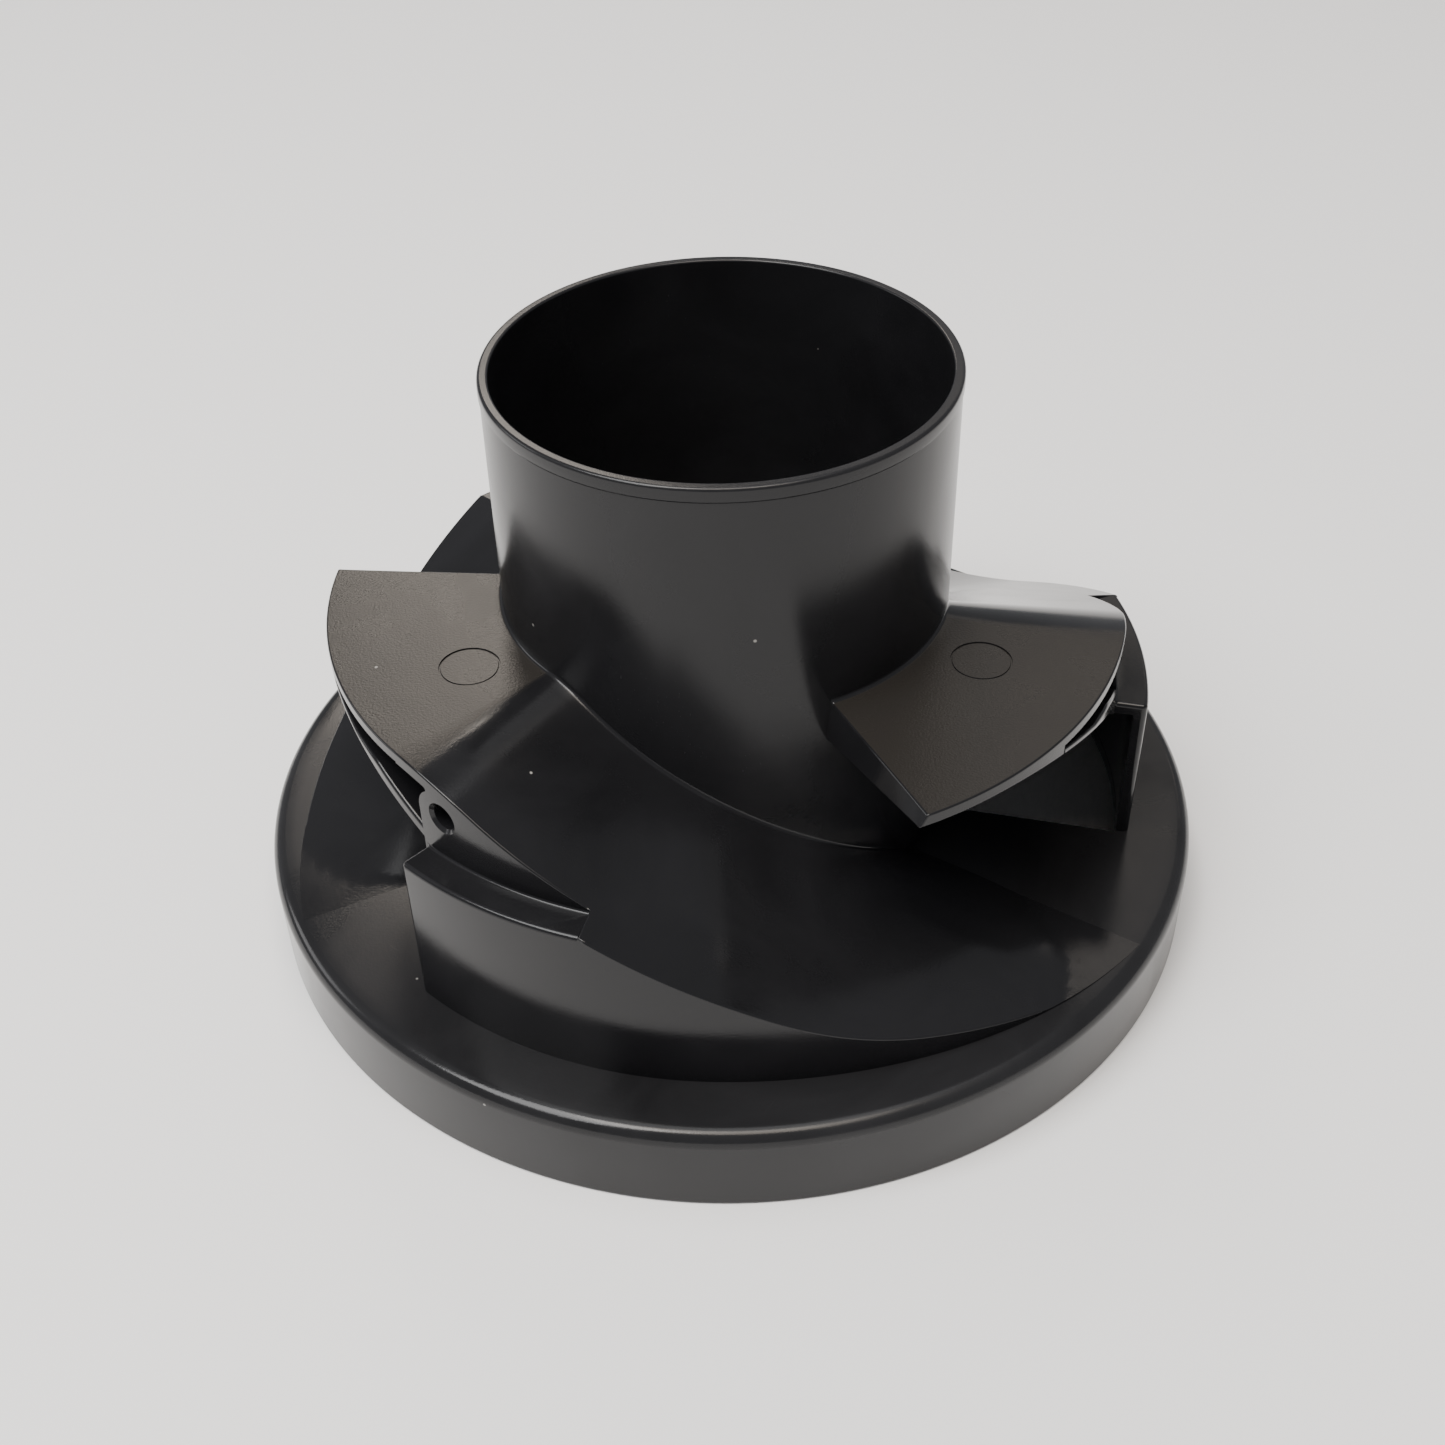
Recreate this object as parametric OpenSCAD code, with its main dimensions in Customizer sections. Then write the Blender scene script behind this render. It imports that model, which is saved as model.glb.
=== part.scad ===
// Swirl inlet body: a central outlet tube on a flanged base, with three helical blades that
// turn incoming air into a spin and lead it down through the base.
// Frame: origin at the centre of the skirt's lower edge, +Z up along the tube.
// Sector 1's blade has its free end at tip_az; sectors 2 and 3 repeat it every 120 degrees.

/* [Outlet tube] */
// Outer diameter of the tube
tube_d = 76; // [74:0.5:78]
// Wall thickness of the tube
tube_wall = 1.6; // [1.2:0.1:2.4]
// Height of the tube's mouth above the skirt's lower edge
tube_top = 101.5; // [90:0.5:115]
// Height of the bead at the mouth
bead_h = 2.5; // [1.5:0.1:4]
// How far the bead stands proud of the tube
bead_proud = 0.2; // [0.1:0.05:0.5]

/* [Base] */
// Outer diameter of the rim
base_d = 168; // [160:1:180]
// Height of the flange's upper face
plate_z = 16; // [13:0.5:20]
// Thickness of the flange, and the radius of its rounded edge
plate_t = 2.5; // [2:0.1:3]
// Radial thickness of the skirt
skirt_t = 2.5; // [2:0.1:4]

/* [Blades] */
// Radius of the blades' outer edge
blade_r = 67.5; // [66:0.25:68.5]
// Height of the blades' flat top
blade_z = 60; // [57:0.5:64]
// Thickness of the blade top and of the ramp
sheet_t = 2.1; // [1.8:0.1:2.4]
// Thickness of the lower sheet
under_t = 1.1; // [1:0.1:1.4]
// Diameter of the shallow ejector-pin disc
disc_d = 10; // [6:0.5:12]
// Depth of the shallow ejector-pin disc
disc_depth = 0.25; // [0.1:0.05:0.5]
// Radius at which the disc lies
disc_r = 47.5; // [46:0.5:56]

/* [Channel walls] */
// Outer radius of the channel walls
wall_r = 73; // [72:0.25:74]
// Thickness of the channel walls
wall_t = 2.2; // [1.8:0.1:2.6]
// Height of the ledge on top of the walls
ledge_z = 44.5; // [43:0.5:46]

/* [Screw bosses] */
// Diameter of the radial screw holes
screw_d = 4.5; // [3:0.1:5]
// Depth of the screw holes
screw_depth = 14; // [8:0.5:20]
// Outer diameter of the bosses
boss_d = 7.8; // [6.5:0.1:8]
// Height of the screw holes
boss_z = 52.5; // [52:0.1:53]

/* [Hidden] */
$fn = 96;

sectors = 3;
pitch_az = 360 / sectors;
tip_az = 175;              // azimuth of sector 1's free blade end
eps = 0.01;
tube_r = tube_d / 2;
bore_r = tube_r - tube_wall;
base_r = base_d / 2;
sheet_under = blade_z - sheet_t;
neck_h = 1.5;
neck_in = 0.02;

// Azimuths inside a sector, in degrees from the blade's free end
slot_s = 24.6;             // the hollow under the blade begins
crease_s = 53;             // the flat top turns down into the ramp
crease_w = 7;              // half the width of that turn
end_wall_s = 50.3;         // the hollow's end wall
wall_s = 50.6;             // channel wall and ledge begin
boss_s = 54.5;             // screw boss
wall_end_s = 140;          // channel wall ends under the ramp
opening_end_s = 138;       // the opening in the flange ends
ramp_end_s = 151;          // the ramp runs out on the flange
disc_s = 34;               // ejector-pin disc

// Fall of the ramp's inner and outer edges, in mm per degree
inner_fall = 0.445;
outer_fall = 0.655;
outer_run_out = 0.215;     // fall of the outer edge past the soft fold
// The ramp's outer edge is down at the ledge here, and reaches out over the wall from here on
ledge_end_s = crease_s + (blade_z - ledge_z) / outer_fall;
fold_s = 108.8;            // the soft fold at the outer edge
fold_skew = 8;             // the fold lies this much earlier at the tube
fold_w = 9;                // half its width at the outer edge
run_out_t = 0.3;           // thickness at which the ramp ends on the flange
flare_s = 111.5;           // the wall's outer face begins to flare out
flare_w = 20;
flare_rate = 0.217;        // mm per degree

// Lower face of the hollow blade
under_tip_drop = 2.2;      // at the outer edge, below the blade's top
under_fall = 0.6;          // mm per degree past its own bend
under_bend_s = 30;
under_bend_w = 20;
under_tilt = 5;            // lower at the tube than at the outer edge
thick_s = 34;              // the lower sheet thickens from here on,
thick_w = 6;               // over this many degrees,
thick_more = 1.4;          // by this much
tip_lean = 1.2;            // the free end leans out by this many degrees at its foot

// End wall of the hollow, beside the boss
web_t = 2.2;               // thickness of the side web
end_wall_t = 1.6;          // thickness of the end wall
end_wall_x = -5.1;         // its outer face, sideways from the boss axis
end_wall_round = 4.6;      // radius with which it bends over the boss
end_wall_bend = 60;        // degrees of that bend
end_wall_lap = [[-2.3, 4.5], [0, 4.9], [0, 3.5]];   // its end under the ramp, from the axis
web_s = boss_s - asin(-(end_wall_x + end_wall_t) / blade_r);
run_in_r = tube_r - 6;     // radii at which what is drawn along the boss starts and stops,
run_out_r = blade_r + 6;   // before it is trimmed to the blade

ramp_color = [0.10, 0.10, 0.11];
blade_color = [0.17, 0.16, 0.15];
tube_color = [0.08, 0.08, 0.09];
base_color = [0.12, 0.12, 0.13];

// A ramp from 0 that starts smoothly: 0 below -w, x above w
function hinge(x, w) = x <= -w ? 0 : x >= w ? x : pow(x + w, 2) / (4 * w);
// 0 at the tube, 1 at the channel wall
function across(r) = (r - tube_r) / (wall_r - tube_r);
// Upper face of blade and ramp
function top_z(s, r) = let (k = across(r))
    blade_z - (inner_fall + (outer_fall - inner_fall) * k) * hinge(s - crease_s, crease_w)
    + (outer_fall - outer_run_out) * k
      * hinge(s - fold_s + fold_skew * (1 - k), max(fold_w * k, 1));
// The same face, kept just above the flange where the ramp runs out
function ramp_z(s, r) = max(top_z(s, r), plate_z + run_out_t);
function ramp_under_z(s, r) = max(top_z(s, r) - sheet_t, plate_z);
// Lower face of the hollow blade
function under_z(s, r) = blade_z - under_tip_drop
    - under_tilt * (blade_r - r) / (blade_r - tube_r)
    - under_fall * hinge(s - under_bend_s, under_bend_w);
// Upper face of the hollow's lower sheet
function under_top_z(s, r) = under_z(s, r) + under_t
    + thick_more * min(max((s - thick_s) / thick_w, 0), 1);
// Outer face of wall and ramp past the ledge
function edge_r(s) = wall_r + flare_rate * hinge(s - flare_s, flare_w);

// A closed shell between two faces over a part of a sector. r_in and r_out give its edges,
// top and bottom its heights; lean tips its first end outwards at the bottom.
module slab(s0, s1, steps, rings, r_in, r_out, top, bottom, lean = 0) {
    row = rings + 1;
    layer = (steps + 1) * row;
    s_of = function(i) s0 + (s1 - s0) * i / steps;
    r_of = function(s, j) r_in(s) + (r_out(s) - r_in(s)) * j / rings;
    spot = function(s, r, z, turn) [r * cos(s + turn), r * sin(s + turn), z];
    id = function(i, j) i * row + j;
    points = concat(
        [for (i = [0:steps]) for (j = [0:rings]) let (s = s_of(i), r = r_of(s, j))
            spot(s, r, top(s, r), tip_az)],
        [for (i = [0:steps]) for (j = [0:rings]) let (s = s_of(i), r = r_of(s, j))
            spot(s, r, bottom(s, r), tip_az - (i == 0 ? lean : 0))]);
    cells = [for (i = [0:steps - 1]) for (j = [0:rings - 1])
        [id(i, j), id(i, j + 1), id(i + 1, j + 1), id(i + 1, j)]];
    border = concat(
        [for (i = [0:steps - 1]) [id(i, 0), id(i + 1, 0)]],
        [for (j = [0:rings - 1]) [id(steps, j), id(steps, j + 1)]],
        [for (i = [0:steps - 1]) [id(i + 1, rings), id(i, rings)]],
        [for (j = [0:rings - 1]) [id(0, j + 1), id(0, j)]]);
    faces = concat(
        [for (c = cells) each [[c[0], c[3], c[2]], [c[0], c[2], c[1]]]],
        [for (c = cells) each [[c[0], c[1], c[2]] + layer * [1, 1, 1],
                               [c[0], c[2], c[3]] + layer * [1, 1, 1]]],
        [for (e = border) each [[e[1], e[0], e[0] + layer], [e[1], e[0] + layer, e[1] + layer]]]);
    polyhedron(points, faces, convexity = 6);
}

// A flat ring sector from radius r0 to r1 and height z0 to z1
module ring_sector(s0, s1, r0, r1, z0, z1) {
    rotate([0, 0, tip_az + s0]) rotate_extrude(angle = s1 - s0)
        translate([r0, z0]) square([r1 - r0, z1 - z0]);
}

module ring(r0, r1, z0, z1) {
    translate([0, 0, z0]) difference() {
        cylinder(r = r1, h = z1 - z0);
        translate([0, 0, -eps]) cylinder(r = r0, h = z1 - z0 + 2 * eps);
    }
}

// Children drawn flat (x sideways, y up) around the boss are pushed out along its axis
module along_boss(r0, r1) {
    rotate([0, 0, tip_az + boss_s]) translate([r0, 0, boss_z]) rotate([90, 0, 90])
        linear_extrude(r1 - r0) children();
}

// A radial cylinder round the boss's axis, from inside the tube to beyond the blade
module boss_core(d) {
    along_boss(run_in_r, run_out_r) circle(d = d);
}

module sector(i) {
    rotate([0, 0, (i - 1) * pitch_az]) children();
}

module outlet_spigot() {
    color(tube_color) ring(bore_r, tube_r, blade_z, tube_top - bead_h);
}

module spigot_bead() {
    round_r = 0.6;
    bead_r = tube_r + bead_proud;
    color(tube_color) rotate_extrude() {
        translate([bore_r, tube_top - bead_h]) square([bead_r - bore_r, bead_h - round_r]);
        translate([bore_r, tube_top - bead_h]) square([bead_r - bore_r - round_r, bead_h]);
        translate([bead_r - round_r, tube_top - round_r]) intersection() {
            circle(r = round_r);
            square(round_r);
        }
    }
}

// The spigot above slips into a sleeve as far as the blades: below them the core is tapered in
// by neck_in over its last neck_h
module core_tube() {
    foot = plate_z - plate_t;
    color(tube_color) rotate_extrude() polygon([
        [bore_r, foot], [tube_r, foot], [tube_r, blade_z - neck_h],
        [tube_r - neck_in, blade_z], [bore_r, blade_z]]);
}

module flange_plate() {
    flat_r = base_r - plate_t;
    color(base_color) difference() {
        rotate_extrude() translate([0, plate_z - plate_t]) {
            translate([tube_r, 0]) square([flat_r - tube_r, plate_t]);
            translate([flat_r, 0]) intersection() {
                circle(r = plate_t);
                square(plate_t);
            }
        }
        for (i = [1:sectors]) sector(i)
            ring_sector(wall_s, opening_end_s, tube_r - eps, wall_r - wall_t,
                        plate_z - plate_t - eps, plate_z + eps);
    }
}

module rim_skirt() {
    color(base_color) ring(base_r - skirt_t, base_r, 0, plate_z - plate_t);
}

module blade(i) {
    flat_top = function(s, r) blade_z;
    color(blade_color) sector(i) {
        slab(0, slot_s, 10, 3, function(s) tube_r, function(s) blade_r,
             flat_top, function(s, r) under_z(s, r), tip_lean);
        difference() {
            slab(slot_s, crease_s - crease_w, 10, 1, function(s) tube_r, function(s) blade_r,
                 flat_top, function(s, r) sheet_under);
            rotate([0, 0, tip_az + disc_s]) translate([disc_r, 0, blade_z - disc_depth])
                cylinder(d = disc_d, h = sheet_t);
        }
    }
}

module blade_underside(i) {
    color(blade_color) sector(i)
        slab(slot_s, end_wall_s, 12, 3, function(s) tube_r, function(s) blade_r,
             function(s, r) under_top_z(s, r), function(s, r) under_z(s, r));
}

// Outline of the hollow's end wall, seen along the boss: upright below, and rounded over
// the boss above
module end_wall_outline() {
    foot = ledge_z - sheet_t - boss_z;
    inner_x = end_wall_x + end_wall_t;
    polygon(concat(
        [[inner_x, foot], [end_wall_x, foot]],
        [for (a = [0:15:end_wall_bend])
            [end_wall_x + end_wall_round * (1 - cos(a)), end_wall_round * sin(a)]],
        end_wall_lap,
        [[inner_x, 0]]));
}

module end_wall(i) {
    color(ramp_color) sector(i) difference() {
        intersection() {
            along_boss(run_in_r, run_out_r) end_wall_outline();
            ring(tube_r, blade_r, 0, tube_top);
        }
        boss_core(boss_d);
    }
}

// It fills the corner under the boss, and what lies between boss and ramp beyond it
module side_web(i) {
    margin = 2;
    inner_r = blade_r - web_t;
    color(ramp_color) sector(i) difference() {
        ring_sector(web_s, ledge_end_s, inner_r, blade_r, ledge_z - sheet_t, sheet_under);
        slab(web_s - margin, ledge_end_s + margin, 12, 1,
             function(s) inner_r - margin, function(s) blade_r + margin,
             function(s, r) blade_z, function(s, r) top_z(s, r) - sheet_t);
        ring_sector(web_s - margin, boss_s, inner_r - margin, blade_r + margin, boss_z, blade_z);
        boss_core(boss_d);
    }
}

module screw_boss(i) {
    color(ramp_color) sector(i) difference() {
        intersection() {
            boss_core(boss_d);
            ring(tube_r, blade_r, 0, tube_top);
        }
        along_boss(blade_r - screw_depth, run_out_r) circle(d = screw_d);
    }
}

module ramp(i) {
    upper = function(s, r) ramp_z(s, r);
    lower = function(s, r) ramp_under_z(s, r);
    inner = function(s) tube_r;
    middle = function(s) blade_r;
    outer = function(s) edge_r(s);
    color(ramp_color) sector(i) {
        slab(crease_s - crease_w, ledge_end_s, 12, 4, inner, middle, upper, lower);
        slab(ledge_end_s, ramp_end_s, 30, 4, inner, middle, upper, lower);
        slab(ledge_end_s, ramp_end_s, 30, 1, middle, outer, upper, lower);
    }
}

module wall_ledge(i) {
    color(ramp_color) sector(i)
        ring_sector(wall_s, ledge_end_s, blade_r, wall_r, ledge_z - sheet_t, ledge_z);
}

module channel_wall(i) {
    foot = function(s, r) plate_z;
    inner = function(s) edge_r(s) - wall_t;
    outer = function(s) edge_r(s);
    color(ramp_color) sector(i) {
        slab(wall_s, ledge_end_s, 12, 1, inner, outer,
             function(s, r) ledge_z - sheet_t, foot);
        slab(ledge_end_s, wall_end_s, 26, 1, inner, outer,
             function(s, r) max(top_z(s, r) - sheet_t, plate_z + eps), foot);
    }
}

outlet_spigot();
spigot_bead();
core_tube();
flange_plate();
rim_skirt();
for (i = [1:sectors]) {
    blade(i);
    blade_underside(i);
    end_wall(i);
    side_web(i);
    screw_boss(i);
    ramp(i);
    wall_ledge(i);
    channel_wall(i);
}
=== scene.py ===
import math

import bmesh
import bpy
from mathutils import Matrix, Vector


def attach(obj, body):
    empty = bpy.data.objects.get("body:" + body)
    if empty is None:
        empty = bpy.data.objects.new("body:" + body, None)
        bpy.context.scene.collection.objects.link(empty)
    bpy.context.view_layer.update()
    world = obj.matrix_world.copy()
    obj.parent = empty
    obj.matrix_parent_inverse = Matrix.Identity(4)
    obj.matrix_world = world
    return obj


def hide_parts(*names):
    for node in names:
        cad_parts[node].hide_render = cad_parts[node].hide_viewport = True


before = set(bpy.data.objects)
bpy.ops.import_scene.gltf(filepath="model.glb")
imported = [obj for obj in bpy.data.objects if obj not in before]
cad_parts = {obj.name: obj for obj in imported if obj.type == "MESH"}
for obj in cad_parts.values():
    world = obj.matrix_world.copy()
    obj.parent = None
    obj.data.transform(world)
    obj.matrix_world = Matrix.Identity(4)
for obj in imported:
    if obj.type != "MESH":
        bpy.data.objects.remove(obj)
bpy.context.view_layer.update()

# ---------------------------------------------------------------- sizes, in millimetres as in the CAD
MM = 0.001
SECTORS = (1, 2, 3)
TIP_AZ = 175.0
TUBE_R, BORE_R = 38.0, 36.4
TUBE_TOP, BEAD_H, BEAD_PROUD = 101.5, 2.5, 0.2
BASE_R, PLATE_Z, PLATE_T, SKIRT_T = 84.0, 16.0, 2.5, 2.5
BLADE_R, BLADE_Z, SHEET_T, UNDER_T = 67.5, 60.0, 2.1, 1.1
WALL_R, WALL_T, LEDGE_Z = 73.0, 2.2, 44.5
SCREW_R, SCREW_DEPTH, BOSS_R, BOSS_Z = 2.25, 14.0, 3.9, 52.5
DISC_R, DISC_AT_R, DISC_S, DISC_DEPTH = 5.0, 47.5, 34.0, 0.25
SLOT_S, CREASE_S, CREASE_W = 24.6, 53.0, 7.0
END_WALL_S, WALL_S, BOSS_S = 50.3, 50.6, 54.5     # _S values are degrees from the free end
WALL_END_S, OPENING_END_S, RAMP_END_S = 140.0, 138.0, 151.0
INNER_FALL, OUTER_FALL, OUTER_RUN_OUT = 0.445, 0.655, 0.215
FOLD_S, FOLD_SKEW, FOLD_W = 108.8, 8.0, 9.0
FLARE_S, FLARE_W, FLARE_RATE = 111.5, 20.0, 0.217
TIP_DROP, TIP_LEAN = 2.2, 1.2
UNDER_FALL, UNDER_BEND_S, UNDER_BEND_W, UNDER_TILT = 0.6, 30.0, 20.0, 5.0
THICK_S, THICK_W, THICK_MORE = 34.0, 6.0, 1.4     # the lower sheet thickens toward its end wall
WEB_T, END_WALL_T, END_WALL_X, END_WALL_ROUND = 2.2, 1.6, -5.1, 4.6
LEDGE_END_S = CREASE_S + (BLADE_Z - LEDGE_Z) / OUTER_FALL
FLAT_END_S = CREASE_S - CREASE_W
SHEET_UNDER = BLADE_Z - SHEET_T
ROUNDED_END_S = 134.0     # the ramp's edge is too thin to round past here
SATIN_END_S, SATIN_SKEW = 46.4, 0.165     # the flat top's satin finish ends along this line
RUN_OUT_T, FEATHERED = 0.3, 14.0     # the ramp thins out to almost nothing over its last degrees
ROUND, UPPER_ZONE = 0.35, 1.0     # rounding of moulded edges; how deep a ramp's upper edge counts
FILLET, LEDGE_FILLET = 0.7, 0.5     # at the tube, and between ledge and web
HOLE_CHAMFER = 0.55


def hinge(x, w):
    """0 below zero and x above it, with a smooth bend of half width w between them."""
    return 0.0 if x <= -w else x if x >= w else (x + w) ** 2 / (4 * w)


def across(r):
    """0 at the tube, 1 at the channel wall's outer radius."""
    return (r - TUBE_R) / (WALL_R - TUBE_R)


def top_z(s, r):
    """Height of the blade's and the ramp's upper face."""
    k = across(r)
    return (BLADE_Z - (INNER_FALL + (OUTER_FALL - INNER_FALL) * k) * hinge(s - CREASE_S, CREASE_W)
            + (OUTER_FALL - OUTER_RUN_OUT) * k
            * hinge(s - FOLD_S + FOLD_SKEW * (1 - k), max(FOLD_W * k, 1)))


def fillet(distance, radius=FILLET):
    """Height of a concave quarter round at this distance from the wall it rises to."""
    if distance >= radius:
        return 0.0
    return radius - math.sqrt(max(radius ** 2 - (radius - distance) ** 2, 0.0))


def ramp_z(s, r):
    """Height of the ramp's upper face, which never sinks into the flange."""
    thin = RUN_OUT_T * min(1.0, max((RAMP_END_S - s) / FEATHERED, 0.03))
    return max(top_z(s, r), PLATE_Z + thin) + fillet(r - TUBE_R)


def ramp_under_z(s, r):
    return max(top_z(s, r) - SHEET_T, PLATE_Z)


def under_z(s, r):
    """Height of the lower sheet's lower face."""
    return (BLADE_Z - TIP_DROP - UNDER_TILT * (BLADE_R - r) / (BLADE_R - TUBE_R)
            - UNDER_FALL * hinge(s - UNDER_BEND_S, UNDER_BEND_W))


def under_top_z(s, r):
    return under_z(s, r) + UNDER_T + THICK_MORE * min(max((s - THICK_S) / THICK_W, 0.0), 1.0)


def edge_r(s):
    """Outer radius of the ramp and its wall, which flare out at the low end."""
    return WALL_R + FLARE_RATE * hinge(s - FLARE_S, FLARE_W)


def at(sector, s, r, z):
    """The point at these degrees past a sector's free end, this radius and this height."""
    a = math.radians(TIP_AZ + 120.0 * (sector - 1) + s)
    return Vector((r * math.cos(a) * MM, r * math.sin(a) * MM, z * MM))


def span(a, b, step):
    """Evenly spaced values from a to b, about step apart."""
    n = max(1, round((b - a) / step))
    return [a + (b - a) * i / n for i in range(n + 1)]


def joined(*lists):
    """Rising lists end to end, without repeats."""
    out = []
    for values in lists:
        for v in values:
            if not out or v > out[-1] + 1e-6:
                out.append(v)
    return out


# Radii across a blade or ramp, close together in the fillet at the tube
FILLET_AT = [TUBE_R + FILLET * f for f in (0.0, 0.04, 0.12, 0.25, 0.42, 0.68, 1.0)]
BLADE_RADII = joined(FILLET_AT, span(TUBE_R + FILLET, BLADE_R, 1.4))


# ---------------------------------------------------------------- mesh building
SAME_PLACE = 2e-7     # metres
SHARP = math.radians(33)
NEAR, NEAR_S = 0.1, 0.2     # how close, in mm and in degrees, an edge lies to a named place


def block(bm, sector, s_values, radii, top, bottom):
    """Adds a closed block between two surfaces over a part of a sector."""
    upper, lower = [], []
    for s in s_values:
        rs = radii(s) if callable(radii) else radii
        upper.append([bm.verts.new(at(sector, s, r, top(s, r))) for r in rs])
        lower.append([bm.verts.new(at(sector, s, r, bottom(s, r))) for r in rs])
    rows, cols = len(upper), len(upper[0])
    for i in range(rows - 1):
        for j in range(cols - 1):
            bm.faces.new((upper[i][j], upper[i][j + 1], upper[i + 1][j + 1], upper[i + 1][j]))
            bm.faces.new((lower[i][j], lower[i + 1][j], lower[i + 1][j + 1], lower[i][j + 1]))
        for j, flip in ((0, False), (cols - 1, True)):
            quad = (upper[i][j], upper[i + 1][j], lower[i + 1][j], lower[i][j])
            bm.faces.new(quad if not flip else quad[::-1])
    for i, flip in ((0, True), (rows - 1, False)):
        for j in range(cols - 1):
            quad = (upper[i][j], upper[i][j + 1], lower[i][j + 1], lower[i][j])
            bm.faces.new(quad[::-1] if flip else quad)


def weld(bm):
    """Joins blocks that meet, and drops the faces between them."""
    same = bmesh.ops.find_doubles(bm, verts=bm.verts, dist=SAME_PLACE)["targetmap"]
    seen = {}
    for f in bm.faces:
        seen.setdefault(frozenset(same.get(v, v) for v in f.verts), []).append(f)
    bmesh.ops.delete(bm, geom=[f for fs in seen.values() if len(fs) > 1 for f in fs],
                     context="FACES_ONLY")
    bmesh.ops.remove_doubles(bm, verts=bm.verts, dist=SAME_PLACE)
    loose = [e for e in bm.edges if not e.link_faces]
    bmesh.ops.delete(bm, geom=loose, context="EDGES")
    loose = [v for v in bm.verts if not v.link_faces]
    bmesh.ops.delete(bm, geom=loose, context="VERTS")
    bmesh.ops.recalc_face_normals(bm, faces=bm.faces)


def local(co, sector):
    """(degrees from the blade's free end, radius, height) of a point, the last two in mm."""
    s = (math.degrees(math.atan2(co.y, co.x)) - TIP_AZ - 120.0 * (sector - 1)) % 360.0
    return (s - 360.0 if s > 300.0 else s), math.hypot(co.x, co.y) / MM, co.z / MM


def piece(name, bm, material, replaced, sector=1, width=ROUND, rounded=None, segments=3,
          satin=None):
    """Turns bm into an object with rounded edges. rounded(s, r, z) gives the share of the width
    for a sharp edge whose middle lies there, 0 for an edge that isn't rounded. satin(s, r, z)
    says how satin the finish is there."""
    if satin:
        layer = bm.verts.layers.float.new("satin")
        for v in bm.verts:
            v[layer] = satin(*local(v.co, sector))
    bmesh.ops.recalc_face_normals(bm, faces=bm.faces)
    weight = bm.edges.layers.float.new("bevel_weight_edge")
    any_round = False
    for e in bm.edges:
        if len(e.link_faces) == 2 and e.calc_face_angle(0.0) > SHARP:
            w = rounded(*local((e.verts[0].co + e.verts[1].co) / 2, sector)) if rounded else 0.0
            e[weight] = w
            e.smooth = w > 0
            any_round = any_round or w > 0
    for f in bm.faces:
        f.smooth = True
    mesh = bpy.data.meshes.new(name)
    bm.to_mesh(mesh)
    bm.free()
    obj = bpy.data.objects.new(name, mesh)
    bpy.context.scene.collection.objects.link(obj)
    if any_round:
        bevel = obj.modifiers.new("rounded_edges", "BEVEL")
        bevel.limit_method = "WEIGHT"
        bevel.width = width * MM
        bevel.segments = segments
        bevel.harden_normals = True
        bevel.use_clamp_overlap = True
    mesh.materials.append(material)
    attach(obj, "root")
    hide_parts(*replaced)
    return obj


def lathe(name, outline, material, replaced, steps=256):
    """Turns a closed outline of (radius, height) points round the axis."""
    bm = bmesh.new()
    rings = []
    for n in range(steps):
        a = 2 * math.pi * n / steps
        rings.append([bm.verts.new((r * math.cos(a) * MM, r * math.sin(a) * MM, z * MM))
                      for r, z in outline])
    m = len(outline)
    for n in range(steps):
        here, there = rings[n], rings[(n + 1) % steps]
        for j in range(m):
            k = (j + 1) % m
            bm.faces.new((here[j], there[j], there[k], here[k]))
    obj = piece(name, bm, material, replaced)
    normals = obj.modifiers.new("flat_faces_stay_flat", "WEIGHTED_NORMAL")
    normals.keep_sharp = True
    normals.weight = 90
    return obj


def arc(cx, cy, radius, a0, a1, n=8):
    """Points on an arc from a0 to a1 degrees."""
    return [(cx + radius * math.cos(math.radians(a0 + (a1 - a0) * i / n)),
             cy + radius * math.sin(math.radians(a0 + (a1 - a0) * i / n))) for i in range(n + 1)]


# ---------------------------------------------------------------- materials
SCRATCH_SETS = ((0.6, 0.74), (-0.9, 0.75))     # (turn in radians, threshold)
SCRATCH_SCALE = (9000.0, 90.0, 1500.0)
DUST_SCALE, SMEAR_SCALE, PIT_SCALE = 230.0, 34.0, 2600.0     # per metre
DUST_COLOUR = (0.32, 0.31, 0.29, 1)
PIT_DEPTH = 0.0002     # metres


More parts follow.
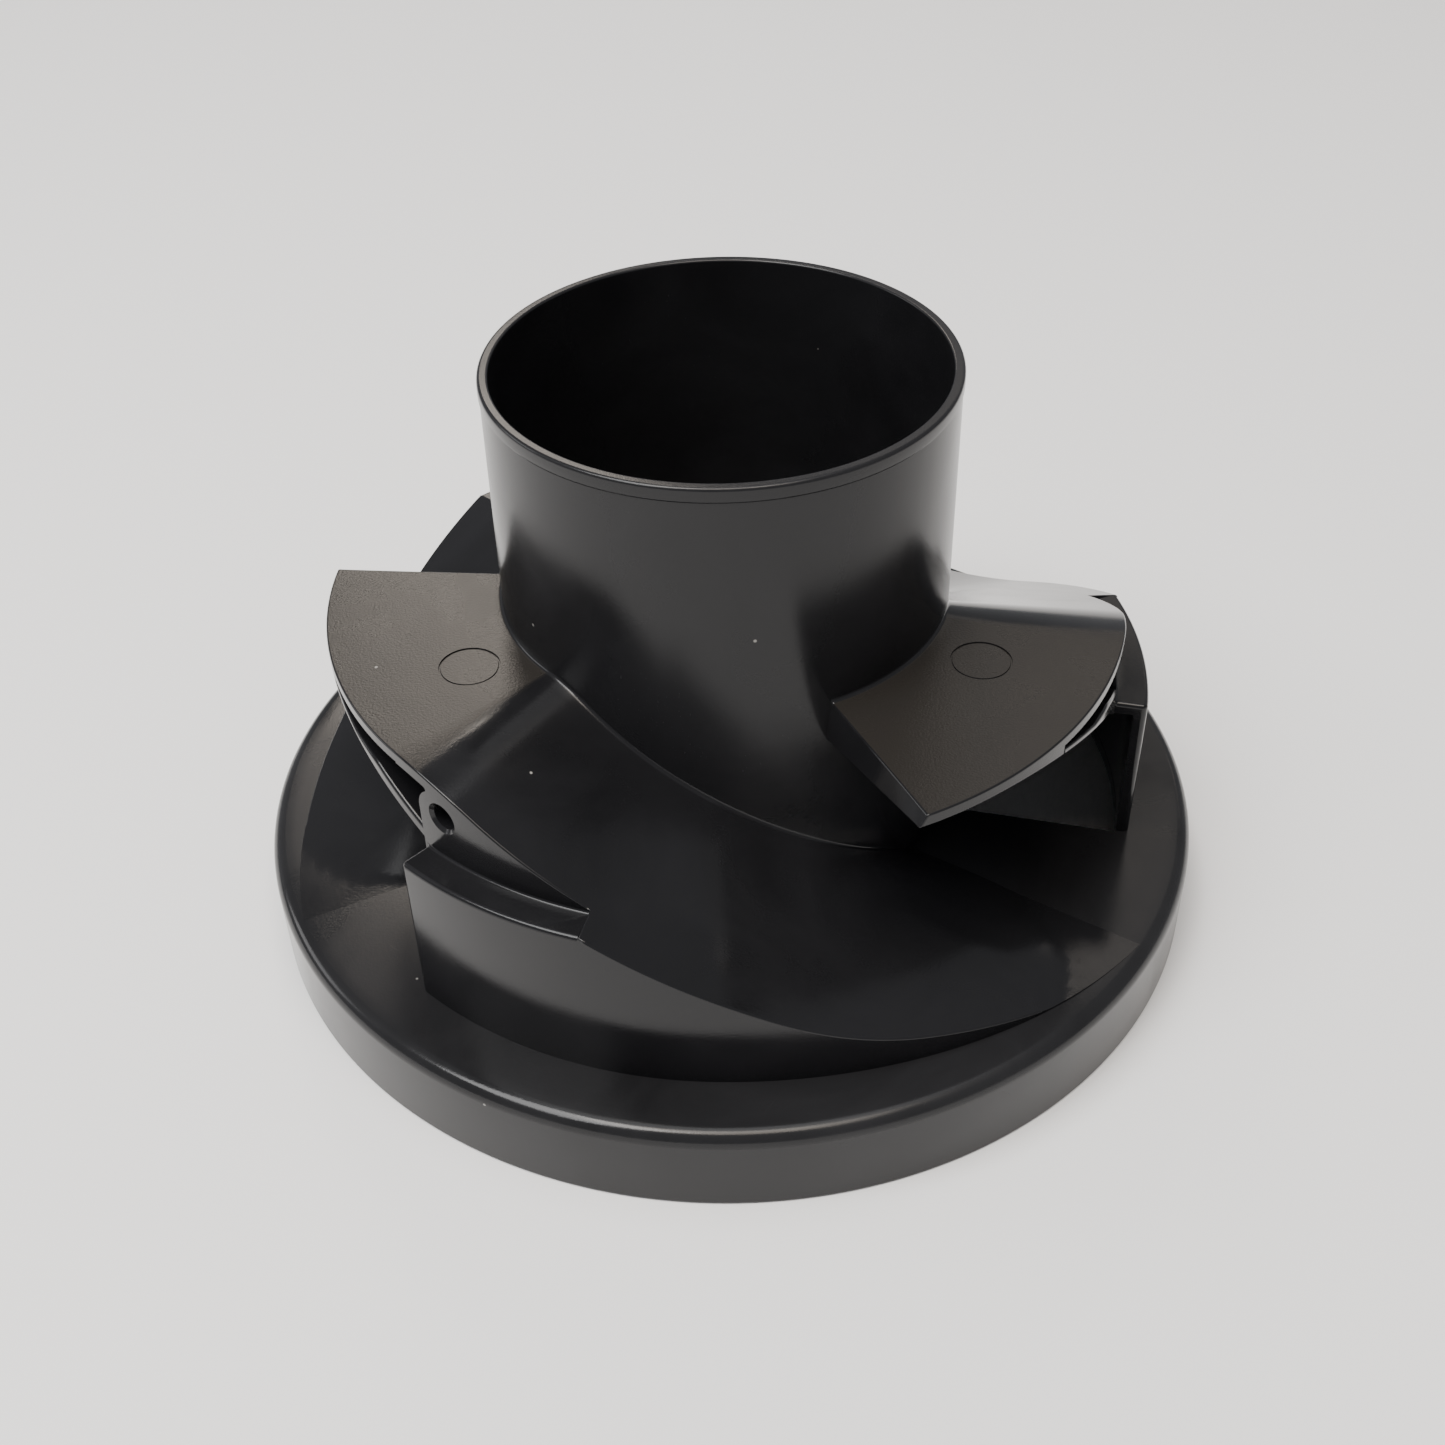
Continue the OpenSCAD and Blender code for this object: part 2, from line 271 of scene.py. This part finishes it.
def plastic(name, colour, roughness, uneven=0.06, grain=0.05, scratches=0.05, dust=0.9,
            satin=None):
    """Moulded plastic: an uneven gloss, a fine grain, hairline scratches and specks of dust.
    satin is the (colour, roughness, grain) of level faces that the mesh marks as satin."""
    mat = bpy.data.materials.new(name)
    mat.use_nodes = True
    nodes, links = mat.node_tree.nodes, mat.node_tree.links
    bsdf = nodes["Principled BSDF"]
    bsdf.inputs["IOR"].default_value = 1.36

    def node(kind, inputs, **settings):
        made = nodes.new("ShaderNode" + kind)
        for key, value in settings.items():
            setattr(made, key, value)
        for key, value in inputs.items():
            if isinstance(value, bpy.types.NodeSocket):
                links.new(value, made.inputs[key])
            else:
                made.inputs[key].default_value = value
        return made

    def mapped(value, low, high, to_low, to_high):
        return node("MapRange", {"Value": value, "From Min": low, "From Max": high,
                                 "To Min": to_low, "To Max": to_high}).outputs["Result"]

    def maths(operation, a, b):
        return node("Math", {0: a, 1: b}, operation=operation).outputs[0]

    def blended(share, a, b):
        made = node("Mix", {"Factor": share, "A": a, "B": b}, data_type="RGBA")
        return made.outputs["Result"]

    place = node("TexCoord", {}).outputs["Object"]

    # scratches: noise drawn out along two directions, of which only the peaks show
    lines = None
    for turned, threshold in SCRATCH_SETS:
        rotated = node("VectorRotate", {"Vector": place, "Angle": turned}, rotation_type="Z_AXIS")
        drawn_out = node("Mapping", {"Vector": rotated.outputs["Vector"], "Scale": SCRATCH_SCALE})
        streaks = node("TexNoise",
                       {"Vector": drawn_out.outputs["Vector"], "Scale": 1.0, "Detail": 1.0})
        share = mapped(streaks.outputs["Fac"], threshold, threshold + 0.08, 0.0, 1.0)
        lines = maths("MAXIMUM", lines, share) if lines else share

    # dust: a few cells of a fine pattern hold a speck
    cells = node("TexVoronoi", {"Vector": place, "Scale": DUST_SCALE, "Randomness": 1.0})
    rare = node("SeparateColor", {"Color": cells.outputs["Color"]}).outputs["Red"]
    speck = maths("MULTIPLY", mapped(cells.outputs["Distance"], 0.045, 0.075, 1.0, 0.0),
                  mapped(rare, 0.955, 0.965, 0.0, dust))

    smears = node("TexNoise", {"Vector": place, "Scale": SMEAR_SCALE, "Detail": 4.0,
                               "Roughness": 0.55, "Distortion": 0.8}).outputs["Fac"]
    pits = node("TexNoise", {"Vector": place, "Scale": PIT_SCALE, "Detail": 2.0}).outputs["Fac"]

    gloss = mapped(smears, 0.35, 0.68, roughness - uneven / 2, roughness + uneven)
    gloss = maths("ADD", gloss, maths("MULTIPLY", lines, scratches))
    shade = blended(mapped(smears, 0.3, 0.7, 0.0, 1.0), tuple(0.8 * c for c in colour) + (1,),
                    tuple(1.25 * c for c in colour) + (1,))
    depth = grain
    if satin:
        satin_colour, satin_roughness, satin_grain = satin
        marked = node("Attribute", {}, attribute_name="satin").outputs["Fac"]
        facing = node("SeparateXYZ", {"Vector": node("NewGeometry", {}).outputs["Normal"]})
        mask = maths("MULTIPLY", marked, mapped(facing.outputs["Z"], 0.93, 0.97, 0.0, 1.0))
        rough = mapped(smears, 0.3, 0.7, satin_roughness - 0.02, satin_roughness + 0.03)
        gloss = maths("ADD", maths("MULTIPLY", gloss, maths("SUBTRACT", 1.0, mask)),
                      maths("MULTIPLY", rough, mask))
        shade = blended(mask, shade, (*satin_colour, 1))
        depth = maths("ADD", grain, maths("MULTIPLY", mask, satin_grain - grain))
    links.new(maths("ADD", gloss, maths("MULTIPLY", speck, 0.4)), bsdf.inputs["Roughness"])
    links.new(blended(speck, shade, DUST_COLOUR), bsdf.inputs["Base Color"])

    relief = node("Bump", {"Strength": depth, "Distance": PIT_DEPTH, "Height": pits})
    links.new(relief.outputs["Normal"], bsdf.inputs["Normal"])
    return mat


SATIN = ((0.020, 0.018, 0.016), 0.27, 0.2)
tube_plastic = plastic("tube_plastic", (0.010, 0.010, 0.011), 0.2)
base_plastic = plastic("base_plastic", (0.012, 0.012, 0.013), 0.17, uneven=0.09)
ramp_plastic = plastic("ramp_plastic", (0.009, 0.009, 0.010), 0.13, satin=SATIN)
blade_plastic = plastic("blade_plastic", (0.010, 0.010, 0.011), 0.15, satin=SATIN)

# ---------------------------------------------------------------- outlet tube
BEAD_SLOPE, BEAD_ROUND, MOUTH_ROUND = 0.35, 0.6, 0.4
bead_r = TUBE_R + BEAD_PROUD
bead_foot = TUBE_TOP - BEAD_H
under_plate = PLATE_Z - PLATE_T
lathe("tube_spigot", [(BORE_R, BLADE_Z), (TUBE_R, BLADE_Z), (TUBE_R, bead_foot),
                      (BORE_R, bead_foot)],
      tube_plastic, ["outlet_spigot"])
lathe("tube_bead",
      [(BORE_R, bead_foot), (TUBE_R, bead_foot), (bead_r, bead_foot + BEAD_SLOPE)]
      + arc(bead_r - BEAD_ROUND, TUBE_TOP - BEAD_ROUND, BEAD_ROUND, 0, 90)
      + arc(BORE_R + MOUTH_ROUND, TUBE_TOP - MOUTH_ROUND, MOUTH_ROUND, 90, 180),
      tube_plastic, ["spigot_bead"])
lathe("tube_core",
      [(BORE_R, under_plate), (TUBE_R, under_plate), (TUBE_R, BLADE_Z), (BORE_R, BLADE_Z)],
      tube_plastic, ["core_tube"])

# ---------------------------------------------------------------- base
FOOT_CHAMFER, FOOT_ROUND = 0.4, 0.5
skirt_in_r = BASE_R - SKIRT_T
lathe("base_skirt",
      [(skirt_in_r, under_plate), (skirt_in_r, FOOT_CHAMFER), (skirt_in_r + FOOT_CHAMFER, 0),
       (BASE_R - FOOT_ROUND, 0)]
      + arc(BASE_R - FOOT_ROUND, FOOT_ROUND, FOOT_ROUND, -75, 0, 5) + [(BASE_R, under_plate)],
      base_plastic, ["rim_skirt"])

flat_r = BASE_R - PLATE_T


def flat(s, r):
    return PLATE_Z


def below(s, r):
    return under_plate


def plate_top(s, r):
    """The flange's upper face, with its quarter-round edge."""
    d = max(r - flat_r, 0.0)
    return under_plate + math.sqrt(max(PLATE_T ** 2 - d ** 2, 0.0))


def plate_rounding(s, r, z):
    """The edges of the openings are rounded."""
    in_the_plate = TUBE_R + 0.5 <= r <= flat_r + 1
    return 1.0 if in_the_plate and z >= PLATE_Z - NEAR else 0.0


rim_radii = [flat_r + PLATE_T * math.sin(math.radians(a)) for a in range(0, 91, 6)]
rim_radii[-1] = BASE_R
wall_inside_r = WALL_R - WALL_T
inside_radii = span(TUBE_R, wall_inside_r, 2.6)
outside_radii = joined(span(wall_inside_r, flat_r, 1.8), rim_radii)
carried = OPENING_END_S - 120.0     # the opening runs on into the next sector's first degrees
bm = bmesh.new()
for sector in SECTORS:
    block(bm, sector, span(carried, WALL_S, 1.5), inside_radii, flat, below)
    block(bm, sector, joined(span(0, carried, 1.5), span(carried, WALL_S, 1.5),
                             span(WALL_S, 120.0, 1.5)), outside_radii, plate_top, below)
weld(bm)
piece("base_flange", bm, base_plastic, ["flange_plate"], rounded=plate_rounding,
      width=0.4)

# ---------------------------------------------------------------- blades and channels
# The ejector pin leaves a fine groove round a shallow disc: (radius, depth) across it
DISC_PROFILE = [(DISC_R, 0.0), (DISC_R - 0.05, DISC_DEPTH), (DISC_R - 0.28, DISC_DEPTH),
                (DISC_R - 0.36, 0.08)]
DISC_STEPS, DISC_MARGIN = 72, 1.4


def from_disc(s, r):
    """Distance from the centre of the sector's ejector-pin disc."""
    turn = math.radians(s - DISC_S)
    return math.hypot(r * math.cos(turn) - DISC_AT_R, r * math.sin(turn))


def recess(bm, centre):
    """Cuts the ejector pin's mark into a flat top."""
    near = [f for f in bm.faces if abs(f.calc_center_median().z - centre.z) < 1e-6
            and (f.calc_center_median() - centre).length < (DISC_R + DISC_MARGIN) * MM]
    bmesh.ops.delete(bm, geom=near, context="FACES")
    hole = [e for e in bm.edges if len(e.link_faces) == 1]
    turns = [2 * math.pi * n / DISC_STEPS for n in range(DISC_STEPS)]
    rings = [[bm.verts.new(centre + Vector((radius * math.cos(a), radius * math.sin(a), -depth)) * MM)
              for a in turns] for radius, depth in DISC_PROFILE]
    round_edges = [bm.edges.new((rings[0][n - 1], rings[0][n])) for n in range(DISC_STEPS)]
    bmesh.ops.triangle_fill(bm, use_beauty=True, edges=hole + round_edges, normal=(0, 0, 1))
    inside = [f for f in bm.faces if all(v in set(rings[0]) for v in f.verts)]
    bmesh.ops.delete(bm, geom=inside, context="FACES_ONLY")
    for here, there in zip(rings, rings[1:]):
        for n in range(DISC_STEPS):
            bm.faces.new((here[n - 1], here[n], there[n], there[n - 1]))
    bm.faces.new(rings[-1])


def flat_top(s, r):
    return BLADE_Z + fillet(r - TUBE_R)


def plate_under(s, r):
    return SHEET_UNDER


def between(s, r):
    """The free end's middle row, which meets the thin plate's lower face at the slot."""
    share = s / SLOT_S
    return SHEET_UNDER * share + (BLADE_Z + under_z(s, r)) / 2 * (1 - share)


def blade_rounding(s, r, z):
    if r < TUBE_R + NEAR or s > FLAT_END_S - NEAR or from_disc(s, r) < DISC_R + 3 * NEAR:
        return 0.0
    return 0.0 if s > SLOT_S - NEAR_S and r < BLADE_R - NEAR else 1.0


def sheet_rounding(s, r, z):
    if r < BLADE_R - NEAR or not SLOT_S + NEAR_S < s < END_WALL_S - NEAR_S:
        return 0.0
    return 1.0 if s > THICK_S and z > under_z(s, r) + UNDER_T / 2 else 0.4


def ramp_rounding(s, r, z):
    if r < TUBE_R + FILLET + NEAR or not FLAT_END_S + NEAR_S < s < ROUNDED_END_S:
        return 0.0
    return 1.0 if z > top_z(s, r) - UPPER_ZONE else 0.0


def satin_top(s, r, z):
    """The satin finish ends on the ramp's first bend, along a slanting line."""
    edge_s = SATIN_END_S + SATIN_SKEW * (r - TUBE_R)
    return min(max(edge_s - s, 0.0), 1.0) if z > top_z(s, r) - NEAR / 2 else 0.0


def ledge_top(s, r):
    return LEDGE_Z + fillet(r - BLADE_R, LEDGE_FILLET)


def ledge_under(s, r):
    return LEDGE_Z - SHEET_T


def ledge_rounding(s, r, z):
    if s > LEDGE_END_S - NEAR_S or r < BLADE_R + NEAR or z < LEDGE_Z - SHEET_T + NEAR:
        return 0.0
    return 0.75 if z > LEDGE_Z - NEAR else 1.0


def wall_top(s, r):
    level = LEDGE_Z if s < LEDGE_END_S else top_z(s, r)
    return max(level - SHEET_T, PLATE_Z + 0.01)


def wall_rounding(s, r, z):
    """Only the upright outer edge at the channel's mouth is rounded."""
    at_mouth = s < WALL_S + NEAR_S and r > WALL_R - 2 * NEAR
    return 1.0 if at_mouth and PLATE_Z + NEAR < z < LEDGE_Z - SHEET_T - NEAR else 0.0


def wall_radii(s):
    return [edge_r(s) - WALL_T, edge_r(s)]


def brim_radii(s):
    """Across the part of the ramp outside the blade's radius, which covers the wall."""
    return span(BLADE_R, edge_r(s), (edge_r(s) - BLADE_R) / 5)


for sector in SECTORS:
    tag = f"_{sector}"

    # blade: solid free end in two layers, then a thin plate over the hollow
    bm = bmesh.new()
    tip_s = span(0, SLOT_S, 1.0)
    block(bm, sector, tip_s, BLADE_RADII, flat_top, between)
    block(bm, sector, tip_s, BLADE_RADII, between, under_z)
    for v in bm.verts:
        s, r, z = local(v.co, sector)
        if s < NEAR_S:
            depth = (BLADE_Z - z) / (BLADE_Z - under_z(0, r))
            v.co = at(sector, -TIP_LEAN * min(max(depth, 0.0), 1.0), r, z)
    block(bm, sector, span(SLOT_S, FLAT_END_S, 1.0), BLADE_RADII, flat_top, plate_under)
    weld(bm)
    recess(bm, at(sector, DISC_S, DISC_AT_R, BLADE_Z))
    piece("blade_top" + tag, bm, blade_plastic, ["blade" + tag], sector,
          rounded=blade_rounding, satin=lambda s, r, z: 1.0)

    # lower sheet of the hollow
    bm = bmesh.new()
    block(bm, sector, span(SLOT_S, END_WALL_S, 1.0), BLADE_RADII, under_top_z, under_z)
    piece("blade_lower_sheet" + tag, bm, ramp_plastic, ["blade_underside" + tag],
          sector, rounded=sheet_rounding, width=0.75)

    # ramp
    bm = bmesh.new()
    early, late = span(FLAT_END_S, LEDGE_END_S, 1.0), span(LEDGE_END_S, RAMP_END_S, 1.0)
    block(bm, sector, early, BLADE_RADII, ramp_z, ramp_under_z)
    block(bm, sector, late, BLADE_RADII, ramp_z, ramp_under_z)
    block(bm, sector, late, brim_radii, ramp_z, ramp_under_z)
    weld(bm)
    piece("ramp_surface" + tag, bm, ramp_plastic, ["ramp" + tag], sector,
          rounded=ramp_rounding, satin=satin_top)

    # ledge on the channel wall
    bm = bmesh.new()
    ledge_radii = joined([BLADE_R + LEDGE_FILLET * f for f in (0, 0.05, 0.15, 0.35, 0.65, 1.0)],
                         span(BLADE_R + LEDGE_FILLET, WALL_R, 1.25))
    block(bm, sector, span(WALL_S, LEDGE_END_S, 1.0), ledge_radii, ledge_top, ledge_under)
    piece("ledge" + tag, bm, ramp_plastic, ["wall_ledge" + tag], sector, width=1.0,
          rounded=ledge_rounding)

    # channel wall
    bm = bmesh.new()
    block(bm, sector, joined(span(WALL_S, LEDGE_END_S - 0.5, 1.0),
                             span(LEDGE_END_S, WALL_END_S, 1.0)),
          wall_radii, wall_top, flat)
    piece("channel_side" + tag, bm, ramp_plastic, ["channel_wall" + tag], sector,
          width=1.0, rounded=wall_rounding)


# ---------------------------------------------------------------- end walls, bosses and side webs
def beside_boss(sector, x, y, depth):
    """The point x sideways and y up from the boss's axis, depth behind the blade's outer radius."""
    a = math.radians(TIP_AZ + 120.0 * (sector - 1) + BOSS_S)
    out, side = Vector((math.cos(a), math.sin(a), 0)), Vector((-math.sin(a), math.cos(a), 0))
    reach = math.sqrt((BLADE_R - depth) ** 2 - x ** 2)
    return (side * x + out * reach + Vector((0, 0, BOSS_Z + y))) * MM


def ramp_under_y(x):
    """Height of the ramp's underside above the boss's axis, at x sideways from it."""
    return top_z(BOSS_S + math.degrees(math.asin(x / BLADE_R)), BLADE_R) - SHEET_T - BOSS_Z


def round_boss(a0, a1, step):
    """Points on the boss's outline, cut off level with the ramp's underside."""
    points = []
    for a in span(a0, a1, step):
        x = BOSS_R * math.cos(math.radians(a))
        points.append((x, min(BOSS_R * math.sin(math.radians(a)), ramp_under_y(x))))
    return points


def pushed_in(name, outline, sector, depth, replaced, rounded=None):
    """A flat outline laid on the blade's outer radius and pushed in by depth."""
    bm = bmesh.new()
    ring = [bm.verts.new((x, y, 0)) for x, y in outline]
    edges = [bm.edges.new((ring[n - 1], ring[n])) for n in range(len(ring))]
    bmesh.ops.triangle_fill(bm, use_beauty=True, edges=edges, normal=(0, 0, 1))
    for x in span(min(p[0] for p in outline), max(p[0] for p in outline), 0.9)[1:-1]:
        bmesh.ops.bisect_plane(bm, geom=bm.verts[:] + bm.edges[:] + bm.faces[:], dist=1e-5,
                               plane_co=(x, 0, 0), plane_no=(1, 0, 0))
    front, rim = bm.faces[:], [e for e in bm.edges if len(e.link_faces) == 1]
    back = {v: bm.verts.new(v.co) for v in bm.verts[:]}
    for f in front:
        bm.faces.new([back[v] for v in reversed(f.verts)])
    for e in rim:
        a, b = e.verts
        bm.faces.new((a, b, back[b], back[a]))
    behind = set(back.values())
    for v in bm.verts:
        v.co = beside_boss(sector, v.co.x, v.co.y, depth if v in behind else 0.0)
    return piece(name, bm, ramp_plastic, replaced, sector, rounded=rounded)


web_foot = LEDGE_Z - SHEET_T - BOSS_Z
inner_x = END_WALL_X + END_WALL_T
boss_meets_wall = 360.0 - math.degrees(math.acos(inner_x / BOSS_R))
BOSS_MEETS_RAMP = 45.0
BEND, CORNER_R = 55.0, 0.5     # the end wall bends over this far, then meets the blade in a corner
TUBE_GAP = 0.3     # end wall and boss stop this far from the blade's inner radius, the tube
full_depth = BLADE_R - TUBE_R - TUBE_GAP

bend = [(END_WALL_X + END_WALL_ROUND * (1 - math.cos(math.radians(a))),
         END_WALL_ROUND * math.sin(math.radians(a))) for a in span(0, BEND, 5)]
turn = math.radians(90 - BEND)
corner_x = bend[-1][0] - CORNER_R * math.sin(turn)
corner_y = bend[-1][1] + CORNER_R * math.cos(turn)
corner = [(corner_x + CORNER_R * math.sin(math.radians(a)),
           corner_y - CORNER_R * math.cos(math.radians(a))) for a in span(90 - BEND + 12, 172, 12)]
under_ramp = [(x, ramp_under_y(x)) for x in span(corner[-1][0] + 0.1, -0.5, 0.4)]
end_wall_outline = ([(inner_x, web_foot), (END_WALL_X, web_foot)] + bend + corner + under_ramp
                    + round_boss(93, boss_meets_wall, 4))
web_end_x = BLADE_R * math.sin(math.radians(LEDGE_END_S - BOSS_S))
web_outline = ([(inner_x, web_foot)] + round_boss(boss_meets_wall, 360 + BOSS_MEETS_RAMP, 4)
               + [(x, ramp_under_y(x)) for x in span(3.2, web_end_x, 0.8)]
               + [(web_end_x, web_foot)])

BOSS_STEP = 5.625
boss_angles = span(0, 360, BOSS_STEP)[:-1]
boss_outline = round_boss(0, 360, BOSS_STEP)[:-1]


def circle(radius):
    """Points round the boss's axis, one for each on its outline."""
    return [(radius * math.cos(math.radians(a)), radius * math.sin(math.radians(a)))
            for a in boss_angles]


hole, lip = circle(SCREW_R), circle(SCREW_R + HOLE_CHAMFER)
halfway = [((a[0] + b[0]) / 2, (a[1] + b[1]) / 2) for a, b in zip(boss_outline, lip)]
boss_stations = [(boss_outline, full_depth), (boss_outline, 0.0), (halfway, 0.0), (lip, 0.0),
                 (hole, HOLE_CHAMFER), (hole, SCREW_DEPTH)]


def open_edge(s, r, z):
    """The end wall's own edge, beside the slot, is rounded; its seams aren't."""
    x = BLADE_R * math.sin(math.radians(s - BOSS_S))
    y = z - BOSS_Z
    beside_slot = x < END_WALL_X + 0.1 or math.hypot(x, y) > BOSS_R + 0.15 and x < inner_x + 1.2
    on_front = r > BLADE_R - 0.2 and web_foot + 0.2 < y < ramp_under_y(x) - 0.06
    return 0.8 if on_front and beside_slot else 0.0


for sector in SECTORS:
    tag = f"_{sector}"
    pushed_in("end_wall_face" + tag, end_wall_outline, sector, full_depth, ["end_wall" + tag],
              open_edge)
    pushed_in("side_web_face" + tag, web_outline, sector, WEB_T, ["side_web" + tag])

    # boss with its screw hole
    bm = bmesh.new()
    rings = [[bm.verts.new(beside_boss(sector, x, y, depth)) for x, y in points]
             for points, depth in boss_stations]
    for here, there in zip(rings, rings[1:]):
        for n in range(len(here)):
            bm.faces.new((here[n - 1], here[n], there[n], there[n - 1]))
    bm.faces.new(rings[0])
    bm.faces.new(rings[-1])
    piece("boss_with_hole" + tag, bm, ramp_plastic, ["screw_boss" + tag], sector)

# ---------------------------------------------------------------- camera, floor and light
CAM_DIST, CAM_UP = 0.25444, 0.23474
YAW, PITCH, ROLL, LENS = -0.0044, 0.6811, -0.0248, 44.847
ahead = Vector((math.sin(YAW) * math.cos(PITCH), math.cos(YAW) * math.cos(PITCH),
                -math.sin(PITCH)))
right = Vector((math.cos(YAW), -math.sin(YAW), 0))
up = right.cross(ahead)
right, up = (math.cos(ROLL) * right + math.sin(ROLL) * up,
             -math.sin(ROLL) * right + math.cos(ROLL) * up)
camera = bpy.data.objects.new("camera", bpy.data.cameras.new("camera"))
camera.data.lens, camera.data.sensor_width = LENS, 36.0
camera.data.clip_start, camera.data.clip_end = 0.01, 50
camera.matrix_world = Matrix((
    (right.x, up.x, -ahead.x, 0), (right.y, up.y, -ahead.y, -CAM_DIST),
    (right.z, up.z, -ahead.z, CAM_UP), (0, 0, 0, 1)))
bpy.context.scene.collection.objects.link(camera)
bpy.context.scene.camera = camera

FLOOR_HALF = 3.0
bm = bmesh.new()
bmesh.ops.create_grid(bm, x_segments=1, y_segments=1, size=FLOOR_HALF)
floor_mesh = bpy.data.meshes.new("floor")
bm.to_mesh(floor_mesh)
bm.free()
floor = bpy.data.objects.new("floor", floor_mesh)
bpy.context.scene.collection.objects.link(floor)
floor_material = bpy.data.materials.new("floor_paper")
floor_material.use_nodes = True
paper = floor_material.node_tree.nodes["Principled BSDF"]
paper.inputs["Base Color"].default_value = (0.9, 0.9, 0.9, 1)
paper.inputs["Roughness"].default_value = 0.85
floor_mesh.materials.append(floor_material)

WARM = (1.0, 0.90, 0.79)
AIM_Z = 0.04


def soft_light(name, azimuth, elevation, distance, size, radiance, colour=(1, 1, 1)):
    """A rectangular softbox in that direction from the object, facing it. radiance is that of
    its surface, where white paper under the room's light is about 1."""
    az, el = math.radians(azimuth), math.radians(elevation)
    aim = Vector((0, 0, AIM_Z))
    place = aim + distance * Vector((math.cos(el) * math.cos(az), math.cos(el) * math.sin(az),
                                     math.sin(el)))
    data = bpy.data.lights.new(name, "AREA")
    data.shape, data.size, data.size_y = "RECTANGLE", size[0], size[1]
    data.energy, data.color = math.pi * size[0] * size[1] * radiance, colour
    lamp = bpy.data.objects.new(name, data)
    lamp.location = place
    lamp.rotation_mode = "QUATERNION"
    lamp.rotation_quaternion = (aim - place).to_track_quat("-Z", "Y")
    bpy.context.scene.collection.objects.link(lamp)


world = bpy.data.worlds.new("studio")
bpy.context.scene.world = world
world.use_nodes = True
background = world.node_tree.nodes["Background"]
background.inputs["Color"].default_value = (0.93, 0.95, 1.0, 1)
background.inputs["Strength"].default_value = 0.38
soft_light("key", 212, 60, 1.15, (0.6, 0.6), 11.0)
soft_light("overhead", 90, 88, 1.6, (1.0, 1.0), 2.2)
soft_light("front_top", 268, 74, 1.5, (1.0, 0.6), 8.0, WARM)
soft_light("back_left", 102, 36, 1.3, (0.28, 0.34), 6.5, WARM)
soft_light("crease", 95, 51, 1.3, (0.14, 0.08), 20.0, WARM)
soft_light("back", 73, 33, 1.3, (0.5, 0.14), 0.8, WARM)
soft_light("back_flange", 70, 43, 1.3, (0.2, 0.12), 2.0, WARM)
soft_light("back_right", 54, 28, 1.3, (0.1, 0.12), 2.0, WARM)
soft_light("left", 166, 22, 1.3, (0.5, 0.35), 3.5)
